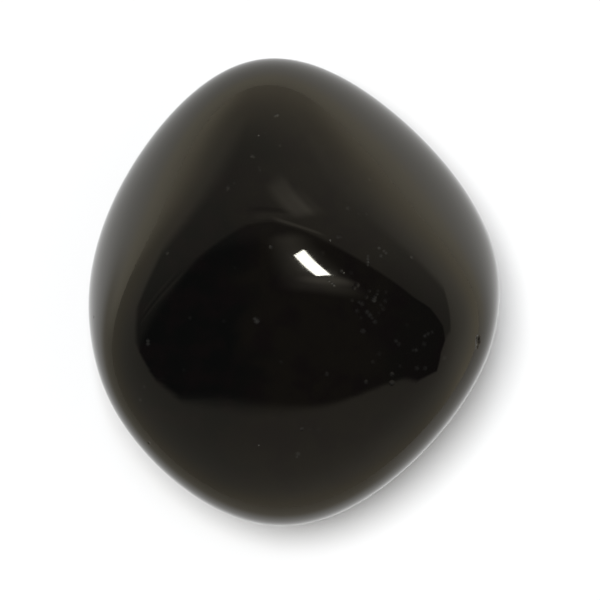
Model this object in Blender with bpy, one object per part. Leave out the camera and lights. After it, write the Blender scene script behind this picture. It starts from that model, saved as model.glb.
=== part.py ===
"""A tumbled pebble of black volcanic glass, one solid, modelled in metres with +Z up.

The rough piece was a block of broken faces and the tumbling barrel rounded its edges. The shape
is built the same way: each broken face is a plane at a known distance from the middle, and one
formula rounds the places where the planes meet. The underside is worn to a small true flat, on
which the pebble rests. +Y runs along the longest extent and +Z along the shortest.
"""
import math

import bmesh
import bpy
from mathutils import Vector

MM = 0.001

# How strongly the edges round a face keep their form. A higher value gives a tighter rounding.
SOFT = 4.5
FIRM = 5.5
CLEAR = 6.0
CRISP = 8.0

# The broken faces: compass angle from +X and angle above the level (degrees), distance of the
# plane from the middle (mm), and sharpness of its edges.
FACES = [
    (266, 76, 8.7, CLEAR),     # broad front face, almost level
    (98, 65, 10.0, CRISP),     # narrow crest that runs up to the pointed end
    (142, 46, 11.2, CLEAR),    # slope to the left of the crest
    (53, 46, 10.9, CLEAR),     # slope to the right of the crest
    (149, 2, 16.53, SOFT),     # upper left side
    (40, 2, 15.09, SOFT),      # upper right side
    (316, -4, 13.84, FIRM),    # lower right side
    (222, -4, 14.83, FIRM),    # lower left side
    (182, 0, 14.83, SOFT),     # left corner
    (352, 0, 14.69, SOFT),     # right corner
    (89, 0, 17.6, SOFT),       # pointed end
    (271, 12, 16.6, FIRM),     # blunt end
    (132, -50, 12.8, SOFT),    # underside, upper left
    (38, -54, 11.9, SOFT),     # underside, upper right
    (232, -50, 12.9, SOFT),    # underside, lower left
    (312, -54, 12.1, SOFT),    # underside, lower right
    (60, -88, 9.6, CRISP),     # underside, middle
]

LENGTH = 30.0          # longest extent after scaling, along Y (mm)
REST_DROP = 8.9        # the resting flat lies this far below the middle (mm)
BALL_STEPS = 5         # 5,120 triangles before the flat is cut
MAX_REACH = 40.0       # farther than any point of the pebble (mm)
HALVINGS = 40          # steps of the search for the surface along one direction
LEVEL_SLACK = 1e-8     # points closer than this to the resting plane lie on it (m)
FLAT_DOWN = -0.9999    # a face whose normal points farther down than this is the resting flat

GLASS_COLOUR = (0.012, 0.011, 0.009, 1.0)
GLASS_ROUGHNESS = 0.06


def face_normal(compass, rise):
    """Unit vector that points outward from a face."""
    a = math.radians(compass)
    e = math.radians(rise)
    return Vector((math.cos(a) * math.cos(e), math.sin(a) * math.cos(e), math.sin(e)))


PLANES = [(face_normal(compass, rise), reach, power) for compass, rise, reach, power in FACES]


def reach_along(direction):
    """Distance in mm from the middle to the surface along a unit vector.

    A point is inside while the sum of (height towards a face / distance of that face) ** sharpness
    over all faces is below one. The sum grows with distance, so halving finds where it is one.
    """
    rates = [(direction.dot(n) / reach, power) for n, reach, power in PLANES if direction.dot(n) > 0]
    near = 0.0
    far = MAX_REACH
    for _ in range(HALVINGS):
        middle = 0.5 * (near + far)
        if sum((rate * middle) ** power for rate, power in rates) < 1.0:
            near = middle
        else:
            far = middle
    return near


def pebble_mesh():
    """The closed pebble with its resting flat at z = 0 and its box centred on the Z axis."""
    bm = bmesh.new()
    bmesh.ops.create_icosphere(bm, subdivisions=BALL_STEPS, radius=1.0)
    for v in bm.verts:
        direction = v.co.normalized()
        v.co = direction * reach_along(direction)
    cut = bmesh.ops.bisect_plane(
        bm, geom=bm.verts[:] + bm.edges[:] + bm.faces[:],
        plane_co=(0.0, 0.0, -REST_DROP), plane_no=(0.0, 0.0, -1.0), clear_outer=True)
    rim = [e for e in cut["geom_cut"] if isinstance(e, bmesh.types.BMEdge)]
    bmesh.ops.edgenet_fill(bm, edges=rim)
    xs = [v.co.x for v in bm.verts]
    ys = [v.co.y for v in bm.verts]
    scale = LENGTH / (max(ys) - min(ys)) * MM
    shift = Vector(((max(xs) + min(xs)) / 2, (max(ys) + min(ys)) / 2, -REST_DROP))
    for v in bm.verts:
        v.co = (v.co - shift) * scale
        if abs(v.co.z) < LEVEL_SLACK:
            v.co.z = 0.0
    bmesh.ops.recalc_face_normals(bm, faces=bm.faces[:])
    for f in bm.faces:
        f.smooth = f.normal.z > FLAT_DOWN
    mesh = bpy.data.meshes.new("stone")
    bm.to_mesh(mesh)
    bm.free()
    return mesh


def glass_material():
    """Black polished volcanic glass."""
    mat = bpy.data.materials.new("obsidian")
    mat.use_nodes = True
    shader = mat.node_tree.nodes["Principled BSDF"]
    shader.inputs["Base Color"].default_value = GLASS_COLOUR
    shader.inputs["Roughness"].default_value = GLASS_ROUGHNESS
    shader.inputs["Metallic"].default_value = 0.0
    return mat


for old in list(bpy.data.objects):
    bpy.data.objects.remove(old, do_unlink=True)

stone = bpy.data.objects.new("stone", pebble_mesh())
stone.data.materials.append(glass_material())
bpy.context.scene.collection.objects.link(stone)
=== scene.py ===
"""The look of a tumbled obsidian pebble: a fine mesh of the polished glass, with its pits and the
nicks at its rim, in a pale studio seen from straight above.

The pebble is a block of broken faces with rounded edges, made by the same formula and from the
same driving values as the solid that it stands for. The mesh is worked out in millimetres from
the pebble's middle, and then fitted to the box of that solid.
"""
import math

import bmesh
import bpy
import numpy as np
from mathutils import Matrix, Vector
from mathutils.kdtree import KDTree


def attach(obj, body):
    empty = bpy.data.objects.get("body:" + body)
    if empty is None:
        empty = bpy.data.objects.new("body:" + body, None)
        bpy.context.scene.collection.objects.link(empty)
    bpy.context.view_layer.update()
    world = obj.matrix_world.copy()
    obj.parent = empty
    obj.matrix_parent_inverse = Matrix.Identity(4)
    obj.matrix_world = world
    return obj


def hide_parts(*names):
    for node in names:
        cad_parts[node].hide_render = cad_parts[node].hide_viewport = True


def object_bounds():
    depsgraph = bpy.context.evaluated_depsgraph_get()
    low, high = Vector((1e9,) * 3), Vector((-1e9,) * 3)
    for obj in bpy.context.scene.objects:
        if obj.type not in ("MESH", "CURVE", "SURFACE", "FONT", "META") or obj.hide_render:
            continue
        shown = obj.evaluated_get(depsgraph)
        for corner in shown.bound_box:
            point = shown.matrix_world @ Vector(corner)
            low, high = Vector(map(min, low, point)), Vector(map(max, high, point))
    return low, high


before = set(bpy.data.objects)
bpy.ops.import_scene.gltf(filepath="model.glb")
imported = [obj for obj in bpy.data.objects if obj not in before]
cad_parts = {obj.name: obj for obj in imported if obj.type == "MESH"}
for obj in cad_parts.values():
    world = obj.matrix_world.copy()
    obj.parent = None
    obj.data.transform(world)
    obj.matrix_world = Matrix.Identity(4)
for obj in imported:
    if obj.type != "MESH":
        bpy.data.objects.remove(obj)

CAD_LOW, CAD_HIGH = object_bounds()

# How strongly the edges round a face keep their form. A higher value gives a tighter rounding.
SOFT = 4.5
FIRM = 5.5
CLEAR = 6.0
CRISP = 8.0

# The broken faces: compass angle from +X and angle above the level (degrees), distance of the
# plane from the middle (mm), and sharpness of its edges.
FACES = [
    (266, 76, 8.7, CLEAR),     # broad front face, almost level
    (98, 65, 10.0, CRISP),     # narrow crest that runs up to the pointed end
    (142, 46, 11.2, CLEAR),    # slope to the left of the crest
    (53, 46, 10.9, CLEAR),     # slope to the right of the crest
    (149, 2, 16.53, SOFT),     # upper left side
    (40, 2, 15.09, SOFT),      # upper right side
    (316, -4, 13.84, FIRM),    # lower right side
    (222, -4, 14.83, FIRM),    # lower left side
    (182, 0, 14.83, SOFT),     # left corner
    (352, 0, 14.69, SOFT),     # right corner
    (89, 0, 17.6, SOFT),       # pointed end
    (271, 12, 16.6, FIRM),     # blunt end
    (132, -50, 12.8, SOFT),    # underside, upper left
    (38, -54, 11.9, SOFT),     # underside, upper right
    (232, -50, 12.9, SOFT),    # underside, lower left
    (312, -54, 12.1, SOFT),    # underside, lower right
    (60, -88, 9.6, CRISP),     # underside, middle
]
REST_DROP = 8.9        # the resting flat lies this far below the middle (mm)
REST_EASE = 0.12       # how far the rim of the resting flat is worn round (mm)

# Fine mesh
WITHIN = 0.9997        # keeps the finer rounding inside the solid's box
BALL_STEPS = 7         # 81,920 triangles before those round the chips are split
BALL_EDGE = 0.020      # longest edge of that ball, for a radius of 1
CHIP_CUTS = 3          # times that the triangles round a chip are split
SOLVE_STEPS = 12       # steps of the search for the surface along one direction
HALVINGS = 50          # steps of the search for the point that a pixel shows
PROBE = 0.0004         # half the step between the points that give a normal (radians)
STEEP = 0.9            # a direction whose height is above this is steep
TINY = 1e-9            # keeps a division or a logarithm away from zero

# Slow unevenness that a tumbling barrel leaves: wave length (mm), height (mm), compass angle and
# angle above the level of the way it runs (degrees), and phase (degrees).
WAVES = [
    (9.5, 0.006, 20, 15, 40),
    (7.0, 0.003, 115, -30, 200),
    (5.2, 0.0015, 65, 40, 310),
    (4.1, 0.0008, 150, 10, 120),
]

# Camera
LENS = 230.0           # mm on a 36 mm sensor
SENSOR = 36.0
CLIP_START = 0.01      # m
PHOTO_WIDTH = 600      # px
PHOTO_SCALE = 15.42    # px per mm at the height of the pebble's middle
PHOTO_MIDDLE = (293.0, 292.0)    # px, where the pebble's middle lies in the photograph

# Chips in the polish, by the pixel that shows them: x, y (px), radius and depth (mm), and how much
# of the chip is left frosted white (0 to 1).
CHIPS = [
    # up the crest and on the slopes
    (277, 115, 0.16, 0.010, 0.75), (275, 116, 0.12, 0.008, 0.50), (280, 145, 0.13, 0.009, 0.20),
    (252, 156, 0.15, 0.008, 0.45), (254, 157, 0.11, 0.006, 0.35), (259, 167, 0.10, 0.005, 0.15),
    (260, 170, 0.11, 0.005, 0.20), (228, 188, 0.16, 0.009, 0.30), (227, 190, 0.10, 0.006, 0.25),
    (234, 183, 0.10, 0.005, 0.15), (265, 132, 0.11, 0.004, 0.10), (167, 253, 0.16, 0.007, 0.22),
    (348, 208, 0.18, 0.009, 0.25), (367, 214, 0.11, 0.005, 0.20), (359, 214, 0.09, 0.004, 0.15),
    (338, 237, 0.15, 0.006, 0.30), (341, 237, 0.10, 0.005, 0.20), (370, 179, 0.14, 0.007, 0.20),
    (379, 248, 0.13, 0.006, 0.60), (384, 251, 0.12, 0.006, 0.50), (386, 253, 0.12, 0.006, 0.50),
    (381, 256, 0.14, 0.005, 0.35), (368, 256, 0.11, 0.004, 0.35), (368, 259, 0.13, 0.005, 0.45),
    (368, 262, 0.13, 0.005, 0.45), (368, 265, 0.09, 0.004, 0.30), (412, 257, 0.15, 0.008, 0.35),
    # round the dark middle
    (257, 321, 0.22, 0.006, 0.50), (255, 319, 0.16, 0.004, 0.40), (271, 247, 0.15, 0.004, 0.35),
    (235, 268, 0.12, 0.004, 0.10), (148, 341, 0.15, 0.004, 0.40), (148, 344, 0.16, 0.004, 0.40),
    (224, 321, 0.14, 0.004, 0.11), (190, 318, 0.15, 0.004, 0.12), (184, 370, 0.14, 0.004, 0.10),
    (281, 362, 0.15, 0.004, 0.14), (327, 374, 0.17, 0.004, 0.22), (334, 285, 0.13, 0.003, 0.30),
    (332, 283, 0.12, 0.002, 0.22), (329, 281, 0.12, 0.002, 0.16), (341, 271, 0.16, 0.002, 0.09),
    (343, 273, 0.12, 0.002, 0.08), (322, 253, 0.20, 0.001, 0.05), (351, 273, 0.18, 0.002, 0.07),
    (357, 285, 0.20, 0.002, 0.09), (354, 288, 0.16, 0.002, 0.08),
    # dusty patch at the right
    (374, 300, 0.20, 0.005, 0.36), (375, 297, 0.14, 0.004, 0.26), (377, 294, 0.12, 0.003, 0.20),
    (378, 291, 0.11, 0.003, 0.16), (362, 304, 0.18, 0.004, 0.26), (359, 302, 0.14, 0.003, 0.18),
    (357, 311, 0.18, 0.004, 0.18), (367, 312, 0.18, 0.004, 0.26), (370, 315, 0.18, 0.004, 0.26),
    (372, 318, 0.13, 0.003, 0.20), (375, 322, 0.17, 0.004, 0.26), (363, 331, 0.20, 0.004, 0.30),
    (385, 301, 0.18, 0.003, 0.14), (383, 309, 0.17, 0.003, 0.16), (352, 300, 0.16, 0.003, 0.11),
    (381, 305, 0.14, 0.003, 0.12), (366, 297, 0.17, 0.003, 0.12), (386, 292, 0.15, 0.003, 0.10),
    (379, 313, 0.13, 0.003, 0.10), (369, 291, 0.15, 0.003, 0.09), (361, 318, 0.14, 0.003, 0.09),
    # right end of the dark middle
    (396, 341, 0.17, 0.004, 0.22), (399, 344, 0.16, 0.004, 0.20), (416, 350, 0.16, 0.004, 0.24),
    (413, 350, 0.12, 0.003, 0.18), (425, 336, 0.16, 0.004, 0.26), (428, 334, 0.15, 0.004, 0.24),
    (432, 332, 0.13, 0.003, 0.20), (424, 344, 0.20, 0.003, 0.14), (373, 362, 0.17, 0.004, 0.15),
    (379, 354, 0.18, 0.003, 0.10), (392, 374, 0.18, 0.003, 0.26), (392, 383, 0.20, 0.004, 0.28),
    (366, 382, 0.18, 0.003, 0.20), (417, 368, 0.19, 0.003, 0.22), (425, 368, 0.18, 0.003, 0.18),
    (445, 358, 0.20, 0.004, 0.20), (400, 366, 0.14, 0.003, 0.09), (407, 325, 0.15, 0.003, 0.07),
    # front
    (302, 429, 0.15, 0.007, 0.42), (298, 454, 0.19, 0.009, 0.42), (297, 457, 0.11, 0.005, 0.35),
    (144, 387, 0.12, 0.005, 0.22), (140, 400, 0.14, 0.006, 0.32), (194, 420, 0.16, 0.004, 0.06),
    (310, 430, 0.20, 0.004, 0.06), (319, 430, 0.20, 0.004, 0.06),
    # nicks at the rim, worn through to bare glass
    (478, 338, 0.24, 0.090, 0.00), (478, 342, 0.26, 0.100, 0.00), (477, 347, 0.18, 0.060, 0.00),
    (94, 317, 0.12, 0.030, 0.00), (149, 443, 0.12, 0.030, 0.00),
]
RAGGED = 0.28          # how far the outline of a chip strays from round
RAGGED_WAVES = [(0.19, 15, 20), (0.15, 105, -25), (0.23, 60, 70)]    # wave length (mm) and its way
FROST_EDGE = 1.5       # how steeply the frosting sets in from the edge of a chip


def unit(compass, rise):
    """Unit vector with a compass angle from +X and an angle above the level, in degrees."""
    a = math.radians(compass)
    e = math.radians(rise)
    return np.array([math.cos(a) * math.cos(e), math.sin(a) * math.cos(e), math.sin(e)])


NORMALS = np.array([unit(f[0], f[1]) for f in FACES])
REACHES = np.array([f[2] for f in FACES])
POWERS = np.array([f[3] for f in FACES])


def fullness(points):
    """Below one inside the block of faces, one on its surface and above one outside."""
    rates = np.maximum(points @ NORMALS.T, 0.0) / REACHES
    return (rates ** POWERS).sum(axis=-1)


def block_reach(directions):
    """Distance in mm from the middle to the block's surface along each unit vector."""
    rates = np.maximum(directions @ NORMALS.T, TINY) / REACHES
    log_rates = np.log(rates)
    s = -log_rates.max(axis=-1)
    for _ in range(SOLVE_STEPS):
        terms = np.exp(POWERS * (s[:, None] + log_rates))
        total = terms.sum(axis=-1)
        s = s - np.log(total) * total / (terms * POWERS).sum(axis=-1)
    return np.exp(s)


def wave_lift(points):
    """Height in mm of the slow unevenness at each point."""
    lift = np.zeros(len(points))
    for length, height, compass, rise, phase in WAVES:
        along = points @ unit(compass, rise) / length
        lift += height * np.cos(2 * math.pi * along + math.radians(phase))
    return lift


def eased_lower(a, b, ease):
    """The lower of two values, with the corner between them rounded over a width of ease."""
    h = np.clip(0.5 + 0.5 * (b - a) / ease, 0.0, 1.0)
    return b * (1 - h) + a * h - ease * h * (1 - h)


def surface_points(directions, chips):
    """Points of the finished surface along unit vectors from the middle, in mm."""
    reach = block_reach(directions)
    reach = reach + wave_lift(directions * reach[:, None])
    down = np.maximum(-directions[:, 2], TINY)
    reach = eased_lower(reach, REST_DROP / down, REST_EASE)
    points = directions * reach[:, None]
    for centre, inward, radius, depth, _ in chips:
        gap = np.linalg.norm(points - centre, axis=1) / radius
        near = gap < 1.0
        points[near] += (depth * (1 - gap[near] ** 2) ** 2)[:, None] * inward
    return points


def surface_normals(directions, chips):
    """Outward normals of the finished surface, from points a small step to each side."""
    helper = np.where(np.abs(directions[:, 2:3]) < STEEP, [[0.0, 0.0, 1.0]], [[1.0, 0.0, 0.0]])
    side = np.cross(helper, directions)
    side /= np.linalg.norm(side, axis=1, keepdims=True)
    up = np.cross(directions, side)

    def difference(axis):
        ahead = directions + PROBE * axis
        behind = directions - PROBE * axis
        ahead /= np.linalg.norm(ahead, axis=1, keepdims=True)
        behind /= np.linalg.norm(behind, axis=1, keepdims=True)
        return surface_points(ahead, chips) - surface_points(behind, chips)

    normals = np.cross(difference(side), difference(up))
    return normals / np.linalg.norm(normals, axis=1, keepdims=True)


def camera_height():
    """Height of the camera above the pebble's middle, in mm."""
    return LENS * (PHOTO_WIDTH / PHOTO_SCALE) / SENSOR


def seen_point(x, y):
    """The point of the block, in mm from its middle, that a pixel of the photograph shows."""
    half = PHOTO_WIDTH / 2
    eye = np.array([(half - PHOTO_MIDDLE[0]) / PHOTO_SCALE,
                    (PHOTO_MIDDLE[1] - half) / PHOTO_SCALE, camera_height()])
    aim = np.array([(x - PHOTO_MIDDLE[0]) / PHOTO_SCALE, (PHOTO_MIDDLE[1] - y) / PHOTO_SCALE, 0.0])
    outside = eye
    inside = aim
    for _ in range(HALVINGS):
        middle = 0.5 * (outside + inside)
        if fullness(middle) < 1.0:
            inside = middle
        else:
            outside = middle
    return inside


def placed_chips():
    """Each chip as its centre on the surface, the way into the glass, and its last three values."""
    made = []
    for x, y, radius, depth, frost in CHIPS:
        point = seen_point(x, y)
        direction = (point / np.linalg.norm(point))[None, :]
        centre = surface_points(direction, [])[0]
        made.append((centre, -surface_normals(direction, [])[0], radius, depth, frost))
    return made


def frosting(points, chips):
    """How frosted each point is, from 0 for clear polish to 1."""
    stray = np.ones(len(points))
    for length, compass, rise in RAGGED_WAVES:
        stray = stray * np.cos(2 * math.pi * (points @ unit(compass, rise)) / length)
    amount = np.zeros(len(points))
    for centre, _, radius, _, frost in chips:
        gap = np.linalg.norm(points - centre, axis=1) / radius + RAGGED * stray
        amount = np.maximum(amount, frost * np.clip(FROST_EDGE * (1 - gap), 0.0, 1.0))
    return amount


def vertex_directions(bm):
    """Unit vector from the middle to each vertex."""
    spots = np.array([v.co[:] for v in bm.verts])
    return spots / np.linalg.norm(spots, axis=1, keepdims=True)


def refine_round(bm, spots):
    """Splits each triangle near a spot of the unit ball into four. A spot is a point and a reach."""
    bm.verts.ensure_lookup_table()
    tree = KDTree(len(bm.verts))
    for i, v in enumerate(bm.verts):
        tree.insert(v.co, i)
    tree.balance()
    near = {i for spot, reach in spots for _, i, _ in tree.find_range(spot, reach)}
    edges = {e for i in near for f in bm.verts[i].link_faces for e in f.edges}
    bmesh.ops.subdivide_edges(bm, edges=list(edges), cuts=1, use_grid_fill=True)
    bmesh.ops.triangulate(bm, faces=[f for f in bm.faces if len(f.verts) > 3])
    for v in bm.verts:
        v.co.normalize()


def pebble_object():
    """The pebble's fine mesh, fitted to the box of the solid it stands for."""
    chips = placed_chips()
    bm = bmesh.new()
    bmesh.ops.create_icosphere(bm, subdivisions=BALL_STEPS, radius=1.0)
    for step in range(CHIP_CUTS):
        margin = BALL_EDGE / 2 ** step
        spots = []
        for centre, _, radius, _, _ in chips:
            distance = float(np.linalg.norm(centre))
            spots.append((Vector(centre) / distance, radius / distance + margin))
        refine_round(bm, spots)
    directions = vertex_directions(bm)
    points = surface_points(directions, chips)
    normals = surface_normals(directions, chips)
    frost = frosting(points, chips)
    low = points.min(axis=0)
    high = points.max(axis=0)
    scale = (CAD_HIGH.y - CAD_LOW.y) / (high[1] - low[1]) * WITHIN
    base = np.array([(low[0] + high[0]) / 2, (low[1] + high[1]) / 2, low[2]])
    points = (points - base) * scale
    for v, p in zip(bm.verts, points):
        v.co = p
    mesh = bpy.data.meshes.new("obsidian_pebble")
    bm.to_mesh(mesh)
    bm.free()
    mesh.attributes.new("frost", "FLOAT", "POINT").data.foreach_set("value", frost)
    mesh.shade_smooth()
    mesh.normals_split_custom_set_from_vertices([tuple(n) for n in normals])
    piece = bpy.data.objects.new("obsidian_pebble", mesh)
    bpy.context.scene.collection.objects.link(piece)
    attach(piece, "root")
    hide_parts("stone")
    return piece, base, scale


class Nodes:
    """Short calls for the nodes of one node tree."""

    def __init__(self, tree):
        self.tree = tree
        tree.nodes.clear()

    def add(self, kind, **values):
        """A node with its inputs set by name to numbers, colours or other nodes' outputs."""
        node = self.tree.nodes.new(kind)
        for name, value in values.items():
            self.feed(node.inputs[name.replace("_", " ")], value)
        return node

    def feed(self, socket, value):
        if isinstance(value, bpy.types.NodeSocket):
            self.tree.links.new(value, socket)
        else:
            socket.default_value = value

    def math(self, operation, *values):
        node = self.tree.nodes.new("ShaderNodeMath")
        node.operation = operation
        for socket, value in zip(node.inputs, values):
            self.feed(socket, value)
        return node.outputs[0]

    def total(self, *values):
        result = values[0]
        for value in values[1:]:
            result = self.math("ADD", result, value)
        return result

    def ramp(self, value, start, end, low=0.0, high=1.0, smooth=True):
        """Goes from low to high as the value goes from start to end, and stays level outside."""
        node = self.tree.nodes.new("ShaderNodeMapRange")
        node.interpolation_type = "SMOOTHSTEP" if smooth else "LINEAR"
        node.clamp = True
        for name, number in (("Value", value), ("From Min", start), ("From Max", end),
                             ("To Min", low), ("To Max", high)):
            self.feed(node.inputs[name], number)
        return node.outputs["Result"]

    def noise(self, where, size, detail=2.0, roughness=0.5, distortion=0.0):
        """Noise with features of the given size in metres."""
        node = self.add("ShaderNodeTexNoise", Vector=where, Scale=1.0 / size, Detail=detail,
                        Roughness=roughness, Distortion=distortion)
        return node.outputs["Fac"]

    def mix(self, factor, a, b):
        """Mixes two colours."""
        node = self.tree.nodes.new("ShaderNodeMix")
        node.data_type = "RGBA"
        self.feed(node.inputs["Factor"], factor)
        self.feed(node.inputs["A"], a)
        self.feed(node.inputs["B"], b)
        return node.outputs["Result"]


# Obsidian. Sizes and heights of its markings are in metres; a range is where a marking sets in and
# where it is complete, as a value of its noise.
GLASS_COOL = (0.0014, 0.0015, 0.0015, 1.0)
GLASS_BROWN = (0.0031, 0.0026, 0.0021, 1.0)
GLASS_PLUM = (0.0023, 0.0017, 0.0018, 1.0)
BROWN_FROM = (-0.0050, -0.0010)  # the glass turns brown between these, along X
BROWN_TO = (0.0040, 0.0075)      # and less so again between these
BROWN_LEFT = 0.45                # down to this share
BROWN_CLOUD = 0.0035             # size of the clouds that bend those edges
BROWN_BEND = 0.009               # and twice how far they bend them
MOTTLE_SIZE = 0.0016             # plum-coloured mottling
MOTTLE_RANGE = (0.42, 0.66)
MOTTLE_MOST = 0.8
DUST = (0.030, 0.029, 0.027, 1.0)
DUST_CELL = 0.0011               # one grain at most in a cell of this size
DUST_GRAIN = (0.030, 0.060)      # a grain's core and its edge, in cells
DUST_PATCH = 0.0045              # size of the dustier patches
DUST_RANGE = (0.45, 0.70)
DUST_CHANCE = (0.03, 0.20)       # share of the cells with a grain, outside and inside a patch
FROST = (0.022, 0.0217, 0.0205, 1.0)
CRUMB_SIZE = 0.00020             # unevenness of the frosting
CRUMB_RANGE = (0.30, 0.60)
CRUMB_LEAST = 0.55
SHEEN_TINT = (1.0, 0.92, 0.735, 1.0)    # the polish mirrors white a little warm
IOR = 1.50
HAZE_SIZE = 0.0022               # slight haze in the polish
HAZE_RANGE = (0.30, 0.75)
HAZE_ROUGHNESS = (0.018, 0.050)
HAZE_HEIGHT = 0.00000035
HAIR_TURN = (0.4, 0.2, 0.9)      # hairline scratches
HAIR_STRETCH = (1.0, 14.0, 14.0)
HAIR_SIZE = 0.0060
HAIR_RANGE = (0.66, 0.72)
HAIR_HEIGHT = -0.0000004
DRAG_TURN = 0.73                 # the way that the barrel dragged the stone (radians)
DRAG_STRETCH = (1.0, 9.0, 1.0)
DRAG_SIZE = 0.0050
DRAG_FADE = (-0.0060, -0.0025)   # the drag lines fade between these, along X
DRAG_LEAST = 0.25
DRAG_HEIGHT = 0.0000016
DUST_HEIGHT = 0.000008
ROUGH_HAIR = 0.05                # what each marking adds to the roughness
ROUGH_DUST = 0.5
ROUGH_FROST = 0.5


def obsidian():
    """Polished volcanic glass: black to brown, with frosted chips, dust and hairline scratches."""
    mat = bpy.data.materials.new("obsidian_glass")
    mat.use_nodes = True
    n = Nodes(mat.node_tree)
    where = n.add("ShaderNodeTexCoord").outputs["Object"]
    across = n.add("ShaderNodeSeparateXYZ", Vector=where).outputs["X"]
    cloud = n.noise(where, BROWN_CLOUD, detail=3.0, distortion=0.6)
    bend = n.math("MULTIPLY", n.math("SUBTRACT", cloud, 0.5), BROWN_BEND)
    shifted = n.math("ADD", across, bend)
    brown = n.math("MULTIPLY", n.ramp(shifted, *BROWN_FROM),
                   n.ramp(shifted, *BROWN_TO, low=1.0, high=BROWN_LEFT))
    mottle = n.ramp(n.noise(where, MOTTLE_SIZE, detail=4.0), *MOTTLE_RANGE, high=MOTTLE_MOST)
    glass = n.mix(mottle, n.mix(brown, GLASS_COOL, GLASS_BROWN), GLASS_PLUM)

    patches = n.noise(where, DUST_PATCH, detail=2.0)
    cells = n.add("ShaderNodeTexVoronoi", Vector=where, Scale=1.0 / DUST_CELL)
    chosen = n.add("ShaderNodeSeparateColor", Color=cells.outputs["Color"]).outputs["Red"]
    fewest, most = DUST_CHANCE
    chance = n.ramp(patches, *DUST_RANGE, low=fewest, high=most)
    picked = n.math("LESS_THAN", chosen, chance)
    grain = n.ramp(cells.outputs["Distance"], *DUST_GRAIN, low=1.0, high=0.0)
    dust = n.math("MULTIPLY", picked, grain)

    marked = n.add("ShaderNodeAttribute")
    marked.attribute_name = "frost"
    crumbs = n.ramp(n.noise(where, CRUMB_SIZE, detail=2.0), *CRUMB_RANGE, low=CRUMB_LEAST)
    frost = n.math("MULTIPLY", marked.outputs["Fac"], crumbs)
    colour = n.mix(frost, n.mix(dust, glass, DUST), FROST)

    haze = n.noise(where, HAZE_SIZE, detail=4.0, roughness=0.6)
    clearest, dullest = HAZE_ROUGHNESS
    polish = n.ramp(haze, *HAZE_RANGE, low=clearest, high=dullest)
    streaks = n.add("ShaderNodeMapping", Vector=where, Rotation=HAIR_TURN, Scale=HAIR_STRETCH)
    hairs = n.noise(streaks.outputs["Vector"], HAIR_SIZE, detail=3.0, roughness=0.7)
    scratch = n.ramp(hairs, *HAIR_RANGE)
    drag = n.add("ShaderNodeMapping", Vector=where, Rotation=(0.0, 0.0, -DRAG_TURN), Scale=DRAG_STRETCH)
    lines = n.noise(drag.outputs["Vector"], DRAG_SIZE, detail=3.0, roughness=0.65)
    worn = n.ramp(across, *DRAG_FADE, low=1.0, high=DRAG_LEAST)
    rough = n.total(polish, n.math("MULTIPLY", scratch, ROUGH_HAIR),
                    n.math("MULTIPLY", dust, ROUGH_DUST), n.math("MULTIPLY", frost, ROUGH_FROST))

    height = n.total(n.math("MULTIPLY", haze, HAZE_HEIGHT), n.math("MULTIPLY", scratch, HAIR_HEIGHT),
                     n.math("MULTIPLY", n.math("MULTIPLY", lines, worn), DRAG_HEIGHT),
                     n.math("MULTIPLY", dust, DUST_HEIGHT))
    bump = n.add("ShaderNodeBump", Strength=1.0, Distance=1.0, Height=height)
    shader = n.add("ShaderNodeBsdfPrincipled", Base_Color=colour, Roughness=rough, IOR=IOR,
                   Specular_Tint=SHEEN_TINT, Normal=bump.outputs["Normal"])
    out = n.add("ShaderNodeOutputMaterial", Surface=shader.outputs["BSDF"])
    out.is_active_output = True
    return mat


# Studio, as seen in the polish. A direction (x, y, z) is read as u = x / (1 + z) and
# v = y / (1 + z): 0 is straight overhead and 1 is level. A position is measured from overhead
# along a compass angle in that plane.
CEILING = 0.18         # brightness overhead, round the dark opening
WALLS = 0.57           # what is added down to the level, all round
WALL_SLOPE = (-0.08, 1.04)
LEAST_DEPTH = 0.3      # below the level 1 + z is taken as no less than this
NEUTRAL = (0.80, 0.80, 0.80, 1.0)  # the room's colour overhead
WARM = (0.83, 0.79, 0.69, 1.0)     # and near the level
WARM_SLOPE = (0.55, 0.92)          # it turns from the one to the other between these

# Brighter parts of the room: what each adds, and the slopes that bound it. A slope goes from none
# to all of it between two distances along a compass angle.
BRIGHT = [
    (0.39, [(-1, 0.20, 0.51), (47, -0.23, 0.16)]),     # white wall on the right
    (0.27, [(0, 0.43, 0.80), (47, -0.23, 0.16)]),      # that wall, brighter lower down
    (0.12, [(-45, 0.32, 0.62)]),                       # and past its right end
    (0.64, [(113, 0.69, 0.96), (180, 0.20, 0.62)]),    # window at the far left
    (0.26, [(90, 0.72, 0.96)]),                        # far wall
]

# Dark parts of the ceiling, each the space between straight sides: compass angle that a side
# faces, its distance from overhead, and its softness. The last four make up the dark opening.
LEDGE = [(-12, 0.380, 0.012), (20, 0.500, 0.020), (35, 0.490, 0.050), (90, 0.680, 0.110),
         (126, 0.680, 0.060), (180, 0.595, 0.030), (208, 0.447, 0.030), (-96, 0.293, 0.006),
         (246, 0.330, 0.010), (228, 0.368, 0.012), (-45, 0.330, 0.020)]
CROWN = [(157, 0.383, 0.020), (123, 0.373, 0.014), (93, 0.350, 0.010), (62, 0.268, 0.008),
         (50, 0.232, 0.008), (36, 0.190, 0.012), (-90, 0.050, 0.010)]
BRIM = [(137, 0.354, 0.020), (64, 0.131, 0.008), (27, 0.238, 0.010), (3, 0.300, 0.010),
        (-24, 0.350, 0.008), (-54, 0.398, 0.012), (-96, 0.291, 0.006), (246, 0.330, 0.010),
        (228, 0.368, 0.012), (205, 0.428, 0.014), (183, 0.474, 0.014)]
CORNER = [(0, 0.277, 0.008), (-90, 0.334, 0.008), (-117, 0.223, 0.008), (180, -0.080, 0.020),
          (90, -0.220, 0.020)]
FLANK = [(-81, 0.284, 0.018), (246, 0.346, 0.018), (228, 0.370, 0.014), (0, 0.030, 0.020),
         (90, -0.220, 0.020)]
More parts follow.
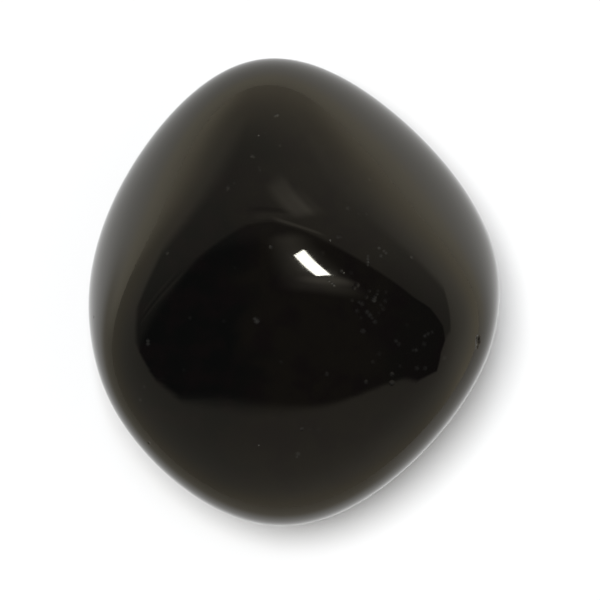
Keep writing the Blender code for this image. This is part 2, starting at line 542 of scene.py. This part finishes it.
OPENING = 0.022        # brightness inside the opening: the crown, the brim and its two corners
LEDGE_LOW = 0.135      # brightness of the ledge round it, at the near side
LEDGE_RISES = [(0.13, 90, -0.06, 0.39), (0.05, 90, 0.36, 0.59), (0.17, 20, -0.07, 0.48)]

# What is added to the ledge: a soft patch of light and thin marks along the opening's edge.
LEDGE_MARKS = [
    (0.24, [(122, 0.300, 0.350), (302, -0.505, -0.450), (32, 0.160, 0.205), (212, -0.280, -0.245)]),
    (0.22, [(122, 0.300, 0.340), (302, -0.490, -0.360), (32, 0.165, 0.205), (212, -0.270, -0.235)]),
    (0.14, [(122, 0.300, 0.340), (302, -0.450, -0.370), (32, 0.220, 0.250), (212, -0.315, -0.280)]),
    (0.34, [(61, 0.269, 0.276), (241, -0.291, -0.282), (0, -0.090, -0.050), (180, -0.060, -0.030)]),
    (-0.08, [(82, 0.374, 0.384), (262, -0.404, -0.394), (0, -0.190, -0.120), (180, -0.020, 0.060)]),
    (0.08, [(87, 0.352, 0.360), (267, -0.386, -0.380), (0, -0.160, -0.120), (180, 0.020, 0.050)]),
    (0.08, [(137, 0.364, 0.376), (317, -0.392, -0.380), (47, -0.330, -0.270), (227, 0.060, 0.120)]),
    (-0.06, [(137, 0.392, 0.402), (317, -0.416, -0.406), (47, -0.300, -0.240), (227, 0.060, 0.120)]),
    (0.07, [(137, 0.418, 0.432), (317, -0.452, -0.438), (47, -0.300, -0.240), (227, 0.080, 0.140)]),
]

# Where the opening is a little lighter: towards the crown and at its left end.
OPENING_RISES = [(0.08, 90, 0.20, 0.31), (0.13, 160, 0.32, 0.44)]

# The strip lamp's halo and a stronger glow at its foot: brightness, reach, and the two ends.
GLOWS = [
    (0.42, 0.066, (0.012, -0.020), (-0.035, 0.235)),
    (0.55, 0.036, (0.008, 0.004), (0.034, 0.014)),
]


class Room:
    """Nodes that work out the room's brightness from the direction (u, v)."""

    def __init__(self, nodes, u, v):
        self.n = nodes
        self.u = u
        self.v = v

    def along(self, angle, distance=0.0):
        """How far a direction lies beyond a distance along a compass angle."""
        a = math.radians(angle)
        return self.n.total(self.n.math("MULTIPLY", self.u, math.cos(a)),
                            self.n.math("MULTIPLY", self.v, math.sin(a)), -distance)

    def bright(self, height, slopes):
        """What one brighter part of the room adds."""
        part = height
        for angle, start, end in slopes:
            part = self.n.math("MULTIPLY", part, self.n.ramp(self.along(angle), start, end))
        return part

    def outside(self, sides):
        """Goes from 0 inside a space with straight sides to 1 outside it."""
        beyond = -1.0
        for angle, distance, softness in sides:
            past = self.n.math("DIVIDE", self.along(angle, distance), softness)
            beyond = self.n.math("MAXIMUM", beyond, past)
        return self.n.ramp(beyond, -1.0, 1.0)

    def glow(self, height, reach, start, end):
        """A glow that fades with the distance from the line between two places."""
        run = Vector(end) - Vector(start)
        du = self.n.math("SUBTRACT", self.u, start[0])
        dv = self.n.math("SUBTRACT", self.v, start[1])
        share = self.n.math("ADD", self.n.math("MULTIPLY", du, run.x / run.length_squared),
                            self.n.math("MULTIPLY", dv, run.y / run.length_squared))
        share = self.n.math("MAXIMUM", self.n.math("MINIMUM", share, 1.0), 0.0)
        du = self.n.math("SUBTRACT", du, self.n.math("MULTIPLY", share, run.x))
        dv = self.n.math("SUBTRACT", dv, self.n.math("MULTIPLY", share, run.y))
        away = self.n.math("SQRT", self.n.total(self.n.math("MULTIPLY", du, du),
                                                self.n.math("MULTIPLY", dv, dv)))
        return self.n.ramp(away, 0.0, reach, low=height, high=0.0)

    def fade(self, share, inner, outer):
        """The inner value where the share is 0 and the outer value where it is 1."""
        return self.n.ramp(share, 0.0, 1.0, low=inner, high=outer, smooth=False)


def studio():
    """A pale room with a dark opening overhead, for the world's light."""
    world = bpy.data.worlds.new("studio")
    bpy.context.scene.world = world
    world.use_nodes = True
    n = Nodes(world.node_tree)
    way = n.add("ShaderNodeSeparateXYZ", Vector=n.add("ShaderNodeTexCoord").outputs["Generated"])
    depth = n.math("MAXIMUM", n.math("ADD", way.outputs["Z"], 1.0), LEAST_DEPTH)
    room = Room(n, n.math("DIVIDE", way.outputs["X"], depth),
                n.math("DIVIDE", way.outputs["Y"], depth))
    radius = n.math("SQRT", n.total(n.math("MULTIPLY", room.u, room.u),
                                    n.math("MULTIPLY", room.v, room.v)))
    light = n.total(CEILING, n.ramp(radius, *WALL_SLOPE, high=WALLS),
                    *[room.bright(height, slopes) for height, slopes in BRIGHT])
    ledge = n.total(LEDGE_LOW, *[room.bright(height, slopes) for height, slopes in LEDGE_MARKS],
                    *[room.bright(height, [slope]) for height, *slope in LEDGE_RISES])
    light = room.fade(room.outside(LEDGE), ledge, light)
    opening = room.outside(CROWN)
    for space in (BRIM, CORNER, FLANK):
        opening = n.math("MINIMUM", opening, room.outside(space))
    dark = n.total(OPENING, *[room.bright(height, [slope]) for height, *slope in OPENING_RISES])
    light = n.total(room.fade(opening, dark, light), *[room.glow(*glow) for glow in GLOWS])
    colour = n.mix(n.ramp(radius, *WARM_SLOPE), NEUTRAL, WARM)
    sky = n.add("ShaderNodeBackground", Color=colour, Strength=light)
    n.add("ShaderNodeOutputWorld", Surface=sky.outputs["Background"])


# Lamps
KEY_WAY = (-0.095, 0.098, 1.0)   # towards the key lamp
KEY_SPREAD = 0.33      # its width as an angle (radians)
KEY_STRENGTH = 4.10
STRIP_FOOT = [(0.0150, 0.0532), (0.0567, 0.0791)]    # lower end, x and y per unit of height
STRIP_HEAD = [(-0.0508, 0.3021), (-0.0065, 0.3817)]  # its upper end, also from left to right
STRIP_HEIGHT = 0.40
TUBES = 5              # the strip lamp is a row of tubes, each a little farther up than the last
TUBE_WIDTH = 0.0112    # width over height
TUBE_POWER = 115.0     # for each square metre
TUBE_COLOUR = (0.85, 0.91, 1.0)

# Table top
TABLE_HALF = 2.0       # from its middle to a side (m)
CARD_ROUGHNESS = 0.9
CARD = 0.62            # how much of the light it returns round the stone
# Farther off, light and shade are painted into its colour: painted shade to the lower left and
# painted light to the upper left and upper right. For each part: what it returns there, the
# distances over which it changes, the compass angle of the middle of that part, and the cosines
# of the angles from there over which it fades.
TABLE_PAINTED_LIGHT_AND_SHADE = [
    (0.45, (0.028, 0.050), 230, (0.20, 0.50)),
    (0.70, (0.035, 0.090), 125, (0.50, 0.90)),
    (0.68, (0.035, 0.090), 45, (0.50, 0.90)),
]
TABLE_PAINTED_TINT = (1.02, 0.98, 0.87)    # the painted light and shade there are a little warm too


def place_light(name, data):
    """Puts a light into the scene where the camera does not see it."""
    piece = bpy.data.objects.new(name, data)
    piece.rotation_mode = "QUATERNION"
    piece.visible_camera = False
    bpy.context.scene.collection.objects.link(piece)
    return piece


def key_lamp():
    """A broad soft lamp almost overhead, kept out of the reflections."""
    data = bpy.data.lights.new("key_lamp", "SUN")
    data.energy = KEY_STRENGTH
    data.angle = KEY_SPREAD
    piece = place_light("key_lamp", data)
    piece.rotation_quaternion = Vector(KEY_WAY).to_track_quat("Z", "Y")
    piece.visible_glossy = False


def lamp_point(ends, share):
    """A place on an end of the strip lamp, from its left at share 0 to its right at share 1."""
    x, y = Vector(ends[0]).lerp(Vector(ends[1]), share)
    return Vector((x, y, 1.0)) * STRIP_HEIGHT


def strip_lamp(top):
    """The strip lamp, a row of tubes that the polish mirrors as one bright mark."""
    for tube in range(TUBES):
        share = (tube + 0.5) / TUBES
        low = lamp_point(STRIP_FOOT, share)
        high = lamp_point(STRIP_HEAD, share)
        away = ((low + high) / 2).normalized()
        run = high - low
        data = bpy.data.lights.new("strip_lamp", "AREA")
        data.shape = "RECTANGLE"
        data.size = TUBE_WIDTH * STRIP_HEIGHT
        data.size_y = run.length
        data.energy = TUBE_POWER * data.size * data.size_y
        data.color = TUBE_COLOUR
        piece = place_light("strip_lamp", data)
        piece.location = top + (low + high) / 2
        upright = (run - run.project(away)).normalized()
        axes = Matrix((upright.cross(away), upright, away)).transposed()
        piece.rotation_quaternion = axes.to_quaternion()


def floor():
    """A white table top, with light and shade painted into its colour farther off."""
    bm = bmesh.new()
    bmesh.ops.create_grid(bm, x_segments=1, y_segments=1, size=TABLE_HALF)
    mesh = bpy.data.meshes.new("table_top")
    bm.to_mesh(mesh)
    bm.free()
    piece = bpy.data.objects.new("table_top", mesh)
    bpy.context.scene.collection.objects.link(piece)
    mat = bpy.data.materials.new("white_card")
    mat.use_nodes = True
    n = Nodes(mat.node_tree)
    where = n.add("ShaderNodeSeparateXYZ", Vector=n.add("ShaderNodeTexCoord").outputs["Object"])
    x = where.outputs["X"]
    y = where.outputs["Y"]
    away = n.math("SQRT", n.total(n.math("MULTIPLY", x, x), n.math("MULTIPLY", y, y)))
    colour = (CARD, CARD, CARD, 1.0)
    # Painted shade and painted light: farther off, the table's colour is darker to the lower left and
    # lighter to the upper left and upper right.
    for share, distances, angle, fan in TABLE_PAINTED_LIGHT_AND_SHADE:
        ahead = n.total(n.math("MULTIPLY", x, math.cos(math.radians(angle))),
                        n.math("MULTIPLY", y, math.sin(math.radians(angle))))
        turned = n.math("DIVIDE", ahead, n.math("MAXIMUM", away, distances[0]))
        painted_mask = n.math("MULTIPLY", n.ramp(away, *distances), n.ramp(turned, *fan))
        colour = n.mix(painted_mask, colour, [*(share * part for part in TABLE_PAINTED_TINT), 1.0])
    shader = n.add("ShaderNodeBsdfPrincipled", Base_Color=colour, Roughness=CARD_ROUGHNESS)
    n.add("ShaderNodeOutputMaterial", Surface=shader.outputs["BSDF"])
    mesh.materials.append(mat)


def camera(base, scale):
    """The camera, straight above, framed as the photograph is."""
    half = PHOTO_WIDTH / 2
    spot = np.array([(half - PHOTO_MIDDLE[0]) / PHOTO_SCALE,
                     (PHOTO_MIDDLE[1] - half) / PHOTO_SCALE, camera_height()])
    data = bpy.data.cameras.new("camera")
    data.lens = LENS
    data.sensor_width = SENSOR
    data.clip_start = CLIP_START
    piece = bpy.data.objects.new("camera", data)
    piece.location = (spot - base) * scale
    bpy.context.scene.collection.objects.link(piece)
    bpy.context.scene.camera = piece


pebble, base, scale = pebble_object()
pebble.data.materials.append(obsidian())
floor()
studio()
key_lamp()
strip_lamp(Vector((0.0, 0.0, CAD_HIGH.z)))
camera(base, scale)
bpy.context.scene.view_settings.view_transform = "Standard"
bpy.context.view_layer.update()
